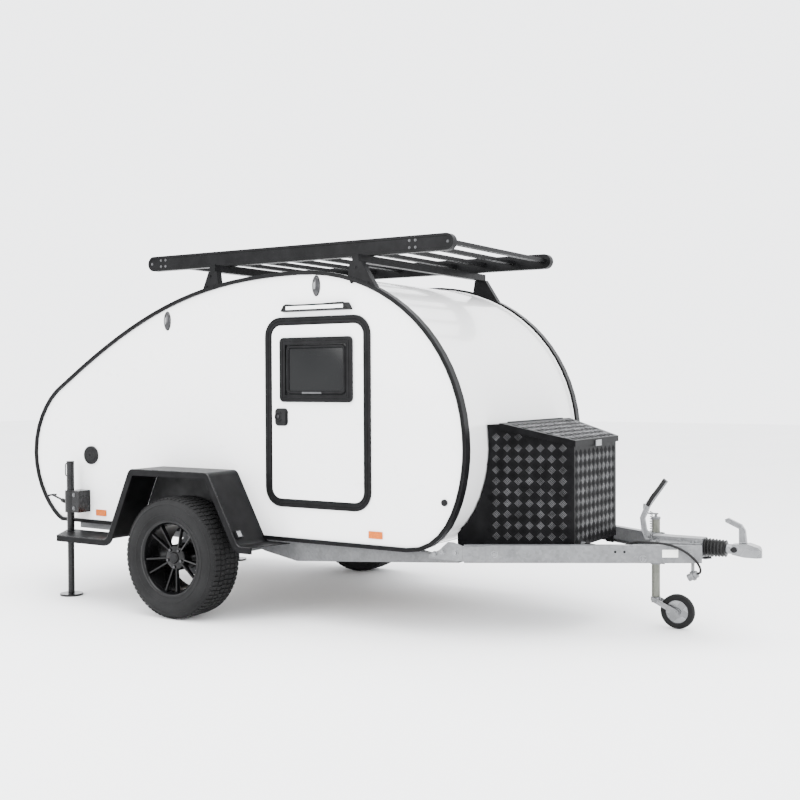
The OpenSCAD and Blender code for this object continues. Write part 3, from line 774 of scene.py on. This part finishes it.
def side_fittings():
    for x, z, name in ((-317, 1828, "rear"), (863, 1998, "front")):
        shell_dome = dome(name + "_side_lamp", at(x, -WALL, z), (29, 20, 62))
        core = dome(name + "_side_lamp_core", at(x - 2, -WALL, z), (15, 22, 42))
        nodes = ["side_lamps"] if name == "rear" else []
        twin = mirrored(shell_dome, "left_" + name + "_side_lamp")
        piece(shell_dome, "trailer", CHROME, nodes)
        piece(twin, "trailer", CHROME)
        both(core, name + "_side_lamp_core", ON_TRAILER, CLEAR)
    marks = panelled("side_reflectors", "side_reflectors_dressed", outward_side(780), [(2.5, -1.2)],
                     AMBER, AMBER, 1.0)
    piece(marks, "trailer", AMBER, ["side_reflectors"])
    corners = [at(x, -WALL, z) for x, z in ((612, 1850), (1124, 1850), (1096, 1893.5), (640, 1893.5))]
    outline = rounded_line(corners, 5 * MM, closed=True)
    hood = slab("awning_lamp", outline, (0, -37 * MM, 0))
    pick_faces(hood, outward_side(810))
    bpy.ops.transform.resize(value=(0.965, 1, 0.9))
    bpy.ops.mesh.inset(thickness=7 * MM, depth=0)
    bpy.ops.mesh.inset(thickness=0.5 * MM, depth=-4 * MM)
    end_edit()
    bevel(hood, 1.5, 2, 40)
    strip = block("awning_strip", at(662, -811, 1861), at(1074, -808, 1882))
    twin = mirrored(hood, "left_awning_lamp")
    piece(hood, "trailer", PLASTIC, ["awning_lamps"])
    piece(twin, "trailer", PLASTIC)
    both(bevel(strip, 1), "awning_strip", ON_TRAILER, STRIP)
    caps = panelled("service_caps", "service_caps_dressed", outward_side(780), [(5, -2), (6, 2), (4, -3)],
                    PLASTIC, PLASTIC, 0.8)
    piece(caps, "trailer", PLASTIC, ["service_caps"])
    ring = [(16, 0), (44, 0), (44, 3), (38, 4), (34, 2), (30, 4), (24, 2), (20, 5), (8, 5), (6, 2)]
    centre = at(-1016, -791, 945)
    points = [centre + Vector((0, -w * MM, r * MM)) for r, w in ring]
    rings = lathe("cap_rings", points, centre, (0, 1, 0), 40, closed=True)
    both(rings, "cap_rings", ON_TRAILER, PLASTIC)


def dome(name, centre, radii):
    """Half an egg shape that stands out from the right wall."""
    bpy.ops.mesh.primitive_uv_sphere_add(segments=40, ring_count=20, radius=1, location=centre)
    obj = bpy.context.object
    obj.name = name
    obj.scale = [r * MM for r in radii]
    apply_place(obj)
    start_edit(obj, "VERT")
    bpy.ops.mesh.select_all(action="SELECT")
    bpy.ops.mesh.bisect(plane_co=centre, plane_no=(0, 1, 0), use_fill=True, clear_outer=True)
    end_edit()
    return mend_normals(obj)


def door_lock():
    """Round key dial and pull paddle on one rounded plate."""
    base = slab("lock_plate", rounded_box(606, 1224, 94, 106, 24, -781), (0, -8 * MM, 0))
    bevel(base, 2.5, 2)
    edge = [(-789, 1254), (-797, 1254), (-799, 1250), (-797, 1246), (-789, 1246)]
    ring = [at(590, y, z) for y, z in edge]
    ring = lathe("lock_ring", ring, at(590, -789, 1226), (0, 1, 0), 40, closed=True)
    dial = rod("lock_dial", at(590, -788, 1226), at(590, -794, 1226), 18 * MM, 32)
    key = rod("lock_key", at(590, -794, 1226), at(590, -799, 1226), 10 * MM, 24)
    paddle = slab("lock_paddle", rounded_box(630, 1222, 30, 78, 8, -788), (0, -11 * MM, 0))
    bevel(paddle, 3, 2)
    body = join("door_lock", [base, ring, bevel(dial, 1.5), paddle])
    both(body, "door_lock", ON_DOORS, PLASTIC)
    both(bevel(key, 0.8), "door_lock_key", ON_DOORS, CHROME)
    sash = wire("window_sash", rounded_box(862, 1506, 411, 271, 22, -784), 11, 12, closed=True)
    both(sash, "window_sash", ON_DOORS, DOOR_TRIM)
    strip = block("window_latch", at(768, -798, 1364), at(909, -792, 1375))
    both(bevel(strip, 1.5), "window_latch", ON_DOORS, ARM)


def rear_parts():
    back = lambda centre, normal: normal.x < -UPRIGHT
    lamps = panelled("rear_lamps", "rear_lamps_dressed", back, [(7, -2)], PLASTIC, RED, 2.0)
    piece(lamps, "trailer", RED, ["rear_lamps"])
    for side, name in ((RIGHT, "right"), (LEFT, "left")):
        for i, tone in enumerate((AMBER, RED, CLEAR)):
            y = side * (546 + 64 * i)
            cell = block(name + "_rear_lens_%d" % i, at(TAIL_X - 4, y - 28, 600), at(TAIL_X + 3, y + 28, 662))
            pick_faces(cell, back)
            bpy.ops.mesh.inset(thickness=4 * MM, depth=1.5 * MM)
            end_edit()
            piece(bevel(cell, 1.2), "trailer", tone)
    plate = panelled("number_plate", "number_plate_dressed", back, [(5, -1)], PLASTIC, BLANK, 1.2)
    piece(plate, "trailer", BLANK, ["number_plate"])
    handle = block("hatch_handle", at(-1548, -90, 764), at(-1517, 90, 792))
    pick_faces(handle, lambda c, n: n.z < -0.95)
    bpy.ops.mesh.inset(thickness=5 * MM, depth=-10 * MM)
    end_edit()
    piece(bevel(handle, 4, 3), "hatch", PLASTIC)
    key = rod("hatch_key", at(-1548, 0, 778), at(-1552, 0, 778), 9 * MM, 24)
    piece(bevel(key, 0.8), "hatch", CHROME)


# ---- Fenders --------------------------------------------------------------------------------


def fenders():
    dress("fenders", "trailer", POWDER, 1.6)
    front = lambda centre, normal: normal.x > 0.8
    lamp = panelled("fender_lamps", "fender_lamps_dressed", front, [(5, -2.5)], PLASTIC, CLEAR, 1.5)
    piece(lamp, "trailer", CLEAR, ["fender_lamps"])
    path = [at(-1060, -1048, 432), at(-600, -1048, 432), at(-395, -1048, 893), at(250, -1048, 893),
            at(478, -1048, 470), at(575, -1048, 470)]
    # A dark sheet just proud of the wall inside the fender. It is painted shade for the fender's shadow on
    # the white wall.
    arch = [at(-560, -776.5, 505), at(-390, -776.5, 886), at(246, -776.5, 886), at(452, -776.5, 505)]
    shade_sheet = slab("arch_painted_shade", arch, (0, -2 * MM, 0))
    both(bevel(shade_sheet, 0.5), "arch_painted_shade", ON_TRAILER, ARCH_SHADE)
    bead = wire("fender_bead", rounded_line([p + Vector((0, 0, -1.8 * MM)) for p in path], 45 * MM), 3.4, 8)
    both(bead, "fender_bead", ON_TRAILER, TUBE_BLACK)


# ---- Wheels ---------------------------------------------------------------------------------
HUB = at(0, 0, WHEEL_Z)
PITCHES = 72


def wheel_point(r, y, degrees=0.0):
    """A point of the right wheel by radius, side position and angle from straight up, forward."""
    a = math.radians(degrees)
    return HUB + Vector((r * math.sin(a) * MM, -y * MM, r * math.cos(a) * MM))


def tread_block(low, high, start, end, drop):
    """One block of the tread; drop lowers its outer edge round the shoulder."""
    obj = block("tread_block", wheel_point(357, high) + Vector((start * MM, 0, 0)),
                wheel_point(TYRE_R - 0.5, low) + Vector((end * MM, 0, 0)))
    if drop:
        outer = -high * MM if drop > 0 else -low * MM
        pick_points(obj, lambda p: p.z > HUB.z + 362 * MM and abs(p.y - outer) < 0.1 * MM)
        bpy.ops.transform.translate(value=(0, 0, -abs(drop) * MM))
        end_edit()
    return bevel(obj, 1.1, 1)


def tyre():
    mid = TYRE_OUT - 127.5
    half = [(218, 98), (222, 106), (232, 112), (250, 119.5), (261, 123.5), (263, 125.5), (268, 125.8),
            (270, 124), (292, 126.8), (312, 125.5), (326, 121.5), (328, 123), (332, 122), (334, 118.5),
            (346, 112), (353, 105), (358, 100)]
    inner = [(350, 88), (338, 108), (300, 114), (250, 106), (226, 90)]
    outline = half + [(359.2, 60), (359.5, 0), (359.2, -60)] + [(r, -w) for r, w in reversed(half)]
    outline += [(r, -w) for r, w in reversed(inner)] + [(351, 0)] + inner
    points = [wheel_point(r, mid + w) for r, w in outline]
    carcass = lathe("tyre_carcass", points, HUB, (0, 1, 0), 128, closed=True)
    pitch = math.tau * 364 / PITCHES
    spec = ((-104, -66, -13.5, 10, -4), (-60, -24, -9, 14.5, 0), (-18, 18, -13.5, 10, 0),
            (24, 60, -9, 14.5, 0), (66, 104, -13.5, 10, 4))
    tread = join("tread", [tread_block(mid + a, mid + b, s, e, d) for a, b, s, e, d in spec])
    ring_of(tread, PITCHES, HUB, (0, 1, 0))
    nibs = []
    for side in (-1, 1):
        nib = beam("shoulder_nib", wheel_point(357, mid + side * 101.5), wheel_point(338, mid + side * 114.5),
                   7 * MM, 5 * MM, (0, side, 0.7))
        nibs.append(bevel(nib, 1, 1))
    nibs = ring_of(join("shoulder_nibs", nibs), PITCHES * 2, HUB, (0, 1, 0))
    whole = join("tyre", [carcass, tread, nibs])
    left = mirrored(whole, "left_tyre_dressed")
    whole.name = "right_tyre_dressed"
    piece(whole, "right_wheel", TYRE, ["right_tyre"])
    piece(left, "left_wheel", TYRE, ["left_tyre"])


def rim():
    out = TYRE_OUT
    barrel = [(235, 17), (235, 13), (232, 11), (222, 11), (215, 16), (209, 30), (205, 60), (203, 130),
              (204, 244), (212, 247), (214, 247), (214, 238), (209, 235), (208, 130), (210, 62), (213, 38),
              (219, 22), (228, 18)]
    ring = lathe("rim_barrel", [wheel_point(r, out - d) for r, d in barrel], HUB, (0, 1, 0), 96, closed=True)
    hub = [(0, 50), (30, 50), (34, 54), (36, 60), (66, 62), (74, 66), (80, 76), (82, 190), (20.2, 190),
           (20.2, 110), (0, 110)]
    boss = lathe("rim_hub", [wheel_point(r, out - d) for r, d in hub], HUB, (0, 1, 0), 64)
    spokes = []
    for side in (-1, 1):
        inner = wheel_point(62, out - 74, 180 + side * 6.5)
        outer = wheel_point(208, out - 40, 180 + side * 14)
        spoke = beam("spoke", inner, outer, 14 * MM, 24 * MM, (0, -1, 0))
        pick_faces(spoke, lambda c, n: n.y < -0.8)
        bpy.ops.transform.resize(value=(0.72, 1, 1), center_override=(inner + outer) / 2)
        end_edit()
        spokes.append(bevel(spoke, 2.2, 2))
    spokes = ring_of(join("spokes", spokes), 5, HUB, (0, 1, 0))
    whole = join("rim", [ring, boss, spokes])
    left = mirrored(whole, "left_rim_dressed")
    whole.name = "right_rim_dressed"
    piece(whole, "right_wheel", RIM, ["right_rim"])
    piece(left, "left_wheel", RIM, ["left_rim"])
    nut = bolt("wheel_nut", wheel_point(56, out - 62, 36), (0, -1, 0), 19, washer=False)
    nuts = ring_of(nut, 5, HUB, (0, 1, 0))
    both(nuts, "wheel_nuts", ON_WHEELS, CHROME)
    dish = ((0, 46), (20, 46), (26, 48), (28, 52), (28, 55), (0, 55))
    cap = lathe("hub_cap", [wheel_point(r, out - d) for r, d in dish], HUB, (0, 1, 0), 40)
    both(cap, "hub_cap", ON_WHEELS, PLASTIC)


# ---- Steadies -------------------------------------------------------------------------------


def steadies():
    dress("steady_clamps", "trailer", TUBE_BLACK, 3)
    for side in ("right", "left"):
        dress(side + "_steady_leg", side + "_steady", TUBE_BLACK, 2)
    x, y = STEADY_X, STEADY_Y
    loop = [at(x - 22, y, 800), at(x - 48, y, 806), at(x - 48, y, 886), at(x - 22, y, 892)]
    bail = wire("steady_bail", rounded_line(loop, 14 * MM), 4, 8)
    both(bail, "steady_bail", ON_STEADIES, TUBE_BLACK)
    cap = rod("steady_cap", at(x, y, 896), at(x, y, 905.5), 25.6 * MM, 32)
    both(bevel(cap, 3, 3), "steady_cap", ON_STEADIES, PLASTIC)
    bar = [at(x - 176, y + 30, 668), at(x - 172, y, 670), at(x - 176, y - 44, 668)]
    both(wire("steady_tee", bar, 6.5, 10), "steady_tee", ON_TRAILER, TUBE_BLACK)
    places = [(-1080, -882, z) for z in (590, 680)]
    bolts("steady_bolts", places, (0, -1, 0), 16, material=OLD_ZINC)


# ---- Toolbox --------------------------------------------------------------------------------
BAR_PITCH = 62


def bar_cluster():
    """Five raised bars side by side, the unit of the tread plate's pattern, drawn about the origin."""
    bars = []
    for i in range(5):
        bar = block("tread_bar", Vector((-17, (i - 2) * 7 - 1.7, -0.4)) * MM,
                    Vector((17, (i - 2) * 7 + 1.7, 1.3)) * MM)
        pick_faces(bar, lambda c, n: n.z > 0.9)
        bpy.ops.transform.resize(value=(0.86, 0.4, 1))
        end_edit()
        bars.append(bar)
    return join("tread_bars", bars)


def bars_on(name, cluster, corner, across, up, width, height, keep):
    """Copies of the cluster over one flat panel, alternately leaning each way; one lean is coloured bright as
    a painted highlight.
    """
    made = []
    normal = across.cross(up)
    columns, rows = int(width / BAR_PITCH * 2), int(height / BAR_PITCH * 2)
    for i in range(1, columns):
        for j in range(1, rows):
            if (i + j) % 2:
                continue
            spot = corner + across * (i * BAR_PITCH / 2 * MM) + up * (j * BAR_PITCH / 2 * MM)
            if not keep(spot):
                continue
            lean = math.radians(45 if i % 2 else -45)
            along = across * math.cos(lean) + up * math.sin(lean)
            side = normal.cross(along)
            twin = copy_of(cluster, "bars")
            twin.matrix_world = Matrix.Translation(spot) @ Matrix((along, side, normal)).transposed().to_4x4()
            # Painted highlight: bars of one lean get the bright material, and the others keep the plate's
            # black.
            twin.data.materials.append(GLINT_BARS if i % 2 == 0 else PLATE)
            made.append(twin)
    activate(made[0])
    for twin in made:
        twin.select_set(True)
    bpy.ops.object.transform_apply(location=True, rotation=True, scale=True)
    return join(name, made)


def inside_body(spot, margin=10):
    """Whether a point lies where the cabin's nose is, near enough for the toolbox."""
    x = (spot.x - AXLE_X) / MM
    z = spot.z / MM
    return x < 1850 - (abs(z - 1060) / 585) ** 2 * 386 + margin if z < 1060 else x < 1866 + margin


def toolbox():
    dress("box_body", "trailer", PLATE, 1.5)
    dress("box_lid", "box_lid", PLATE, 2.0)
    cluster = bar_cluster()
    taper = math.atan((510 - 317) / (2292 - 1835))
    up = Vector((0, 0, 1))
    side_across = Vector((math.cos(taper), math.sin(taper), 0))
    side = bars_on("side_bars", cluster, at(1835, -510, 500), side_across, up, 496, 690,
                   side_bar_fits)
    both(side, "box_side_bars", ON_TRAILER, GLINT_BARS)
    front = bars_on("box_front_bars", cluster, at(2292, -317, 500), Vector((0, 1, 0)), up, 634, 574,
                    front_bar_fits)
    piece(front, "trailer", GLINT_BARS)
    top = lid_bars(cluster)
    piece(top, "box_lid", GLINT_BARS)
    bpy.data.objects.remove(cluster)
    latch = block("box_latch", at(2304, -42, 1058), at(2312, 42, 1092))
    pick_faces(latch, lambda c, n: n.x > 0.9)
    bpy.ops.mesh.inset(thickness=6 * MM, depth=-3 * MM)
    end_edit()
    piece(bevel(latch, 1.5), "box_lid", BRIGHT)
    tabs = [(x + 30, -(317 + 0.4223 * (2292 - x - 30) + 5.2), 478) for x in (1960, 2215)]
    bolts("box_tab_bolts", tabs, (math.sin(taper), -math.cos(taper), 0), 16)


def front_bar_fits(p):
    """Whether a cluster lies inside the front panel and clear of the lead's outlet."""
    from_lead = math.hypot(p.y + 0.215, p.z - 0.514)
    return p.z < 1050 * MM and abs(p.y) < 296 * MM and from_lead > 0.04


def side_bar_fits(p):
    """Whether a cluster lies inside the side panel, below the lid and clear of the nose."""
    x, z = (p.x - AXLE_X) / MM, p.z / MM
    top = 1190 if x < 1915 else 1190 - (x - 1915) * 94 / 377
    return x < 2272 and z < top - 42 and not inside_body(p, 22)


def lid_bars(cluster):
    """The pattern on the lid, which narrows towards its front."""
    across = Vector((0, 1, 0))
    slope = Vector((-(2304 - 1915), 0, 1199 - 1103)).normalized()
    corner = at(2304, -500, 1103.4)

    def fits(p):
        x = (p.x - AXLE_X) / MM
        return abs(p.y) / MM < 317 + 0.4223 * (2292 - x) - 18 and 1935 < x < 2288
    return bars_on("lid_bars", cluster, corner, across, slope, 1000, 400, fits)


# ---- Rack -----------------------------------------------------------------------------------


def rack():
    rails = panelled("rack_rails", "rack_rails_dressed", outward_side(670), [(16, -2.5)], RACK, RACK, 1.6)
    piece(rails, "trailer", RACK, ["rack_rails"])
    dress("rack_feet", "trailer", RACK, 1.2)
    slats = from_frame("rack_slats", "rack_slats_dressed")
    slats.data.materials.append(RACK)
    slotted(slats)
    piece(bevel(slats, 0.8, 1), "trailer", RACK, ["rack_slats"])
    spots = [(x, -674 + 2.5, z) for x in (1440, 1480, -470, -430) for z in (2194, 2234)]
    spots += [(1690, -671.5, 2214), (-549, -671.5, 2214)]
    bolts("rack_bolts", spots, (0, -1, 0), 10, material=ARM)
    feet = [(x, -785, z) for x, z in ((20, 2030), (80, 2030), (1120, 2010), (1230, 1998), (52, 2096),
                                      (1145, 2090))]
    bolts("rack_foot_bolts", feet, (0, -1, 0), 14, material=RACK)


def slotted(slats):
    """Cuts a row of short slots through every slat."""
    pitch = (1725 + 584 - 110) / 10
    cutter = block("slot", at(-584 + 35 + 16, -583, 2195), at(-584 + 35 + 24, -547, 2240))
    rows = [moved(cutter, "slot", (0, 53 * j * MM, 0)) for j in range(22)]
    row = join("slot_row", rows)
    bpy.data.objects.remove(cutter)
    cuts = join("slots", [moved(row, "slots", (pitch * i * MM, 0, 0)) for i in range(11)])
    bpy.data.objects.remove(row)
    activate(slats)
    bpy.ops.object.modifier_add(type="BOOLEAN")
    slats.modifiers[-1].object = cuts
    slats.modifiers[-1].solver = "EXACT"
    bpy.ops.object.modifier_apply(modifier=slats.modifiers[-1].name)
    bpy.data.objects.remove(cuts)


# ---- Floor and light ------------------------------------------------------------------------


def studio():
    floor_finish = Finish("studio_floor", 0.9)
    floor_finish.colours(floor_finish.noise(0.6, 1.0), [0.86] * 3, [0.88] * 3)
    bpy.ops.mesh.primitive_plane_add(size=FLOOR_SIZE, location=(0, 0, -0.001))
    floor = bpy.context.object
    floor.name = "studio_floor"
    floor.data.materials.append(floor_finish.material)
    world = bpy.data.worlds.new("studio")
    world.use_nodes = True
    world.node_tree.nodes["Background"].inputs["Color"].default_value = (0.93, 0.94, 0.96, 1)
    world.node_tree.nodes["Background"].inputs["Strength"].default_value = WORLD_LIGHT
    bpy.context.scene.world = world
    lights = [area_light("overhead", (0.5, -1.0, 6.5), (0, 0, 0.8), 7.0, 760),
              area_light("side", (-3.0, -7.5, 3.2), (0, 0, 1.0), 4.0, 380),
              area_light("nose", (7.5, -1.5, 3.0), (0.5, 0, 1.0), 3.5, 200)]


def area_light(name, place, aim, size, power):
    light = bpy.data.lights.new(name, "AREA")
    light.shape = "DISK"
    light.size = size
    light.energy = power
    obj = bpy.data.objects.new(name, light)
    obj.location = place
    obj.rotation_euler = (Vector(aim) - Vector(place)).to_track_quat("-Z", "Y").to_euler()
    bpy.context.scene.collection.objects.link(obj)
    return obj


# ---- The whole trailer ----------------------------------------------------------------------
chassis()
drawbar_fittings()
coupling()
jockey_parts()
shell()
side_fittings()
door_lock()
rear_parts()
fenders()
tyre()
rim()
steadies()
toolbox()
rack()
studio()

bpy.ops.object.select_all(action="DESELECT")
